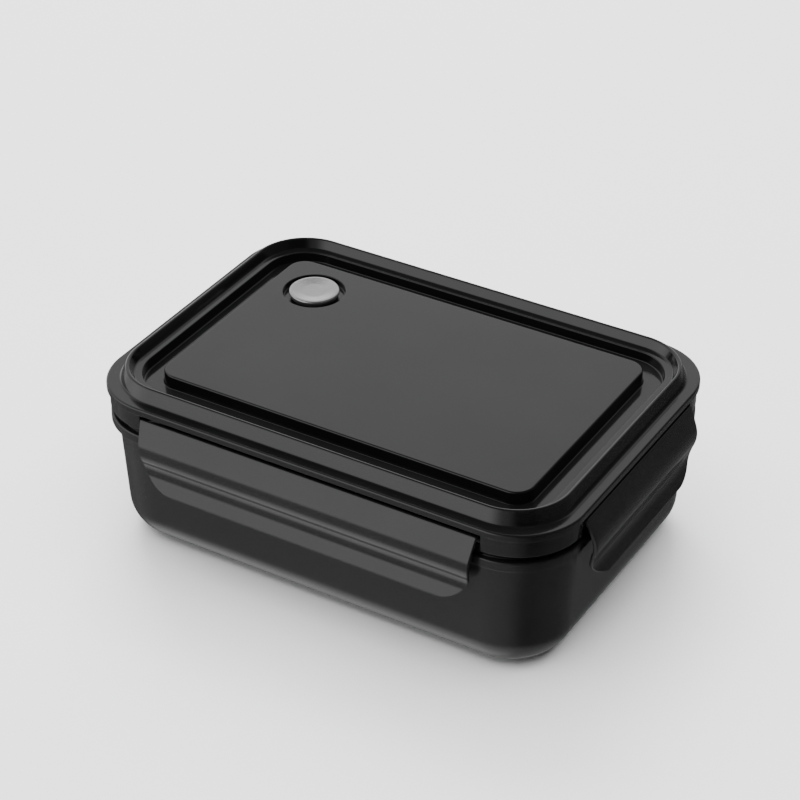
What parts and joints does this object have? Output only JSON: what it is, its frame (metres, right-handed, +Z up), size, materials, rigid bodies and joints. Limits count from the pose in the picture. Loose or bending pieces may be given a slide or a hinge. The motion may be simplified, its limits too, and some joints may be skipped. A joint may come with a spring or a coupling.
{
  "type": "clip-top lunch box",
  "caption": "Rectangular lunch box: steel liner in a moulded outer box, raised-panel lid with hinged clip flaps and a vent plug.",
  "frame": {"origin": "centre of the underside of the outer box, on the surface that the box stands on", "axes": "+X along the long side, +Y to the back, where the vent plug's end of the lid is at the left, and +Z up"},
  "size_m": [0.219, 0.1578, 0.0759],
  "materials": {
    "shell_plastic": "satin moulded polypropylene",
    "lid_plastic": "semi-gloss moulded polypropylene with a very fine grain",
    "flap_plastic": "satin moulded polypropylene",
    "liner_steel": "drawn and brushed stainless steel",
    "rod_steel": "drawn wire",
    "gasket_silicone": "soft translucent silicone",
    "plug_silicone": "smooth satin grey silicone"
  },
  "bodies": {
    "box": {"base_shell": "shell_plastic", "steel_liner": "liner_steel"},
    "lid": {"lid_cover": "lid_plastic", "lid_gasket": "gasket_silicone", "hinge_rod_front": "rod_steel", "hinge_rod_right": "rod_steel", "hinge_rod_back": "rod_steel", "hinge_rod_left": "rod_steel"},
    "plug": {"vent_plug": "plug_silicone"},
    "front_flap": {"flap_front": "flap_plastic"},
    "right_flap": {"flap_right": "flap_plastic"},
    "back_flap": {"flap_back": "flap_plastic"},
    "left_flap": {"flap_left": "flap_plastic"}
  },
  "joints": [
    {"name": "lid_lift", "type": "slide", "parent": "box", "child": "lid", "axis": [0, 0, 1], "range_m": [0, 0.08]},
    {"name": "vent_plug_pull", "type": "slide", "parent": "lid", "child": "plug", "axis": [0, 0, 1], "range_m": [0, 0.003]},
    {"name": "front_flap_hinge", "type": "hinge", "parent": "lid", "child": "front_flap", "pos_m": [0, -0.07288, 0.06341], "axis": [-1, 0, 0], "range_deg": [0, 84]},
    {"name": "right_flap_hinge", "type": "hinge", "parent": "lid", "child": "right_flap", "pos_m": [0.10348, 0, 0.06341], "axis": [0, -1, 0], "range_deg": [0, 84]},
    {"name": "back_flap_hinge", "type": "hinge", "parent": "lid", "child": "back_flap", "pos_m": [0, 0.07288, 0.06341], "axis": [1, 0, 0], "range_deg": [0, 84]},
    {"name": "left_flap_hinge", "type": "hinge", "parent": "lid", "child": "left_flap", "pos_m": [-0.10348, 0, 0.06341], "axis": [0, 1, 0], "range_deg": [0, 84]}
  ]
}
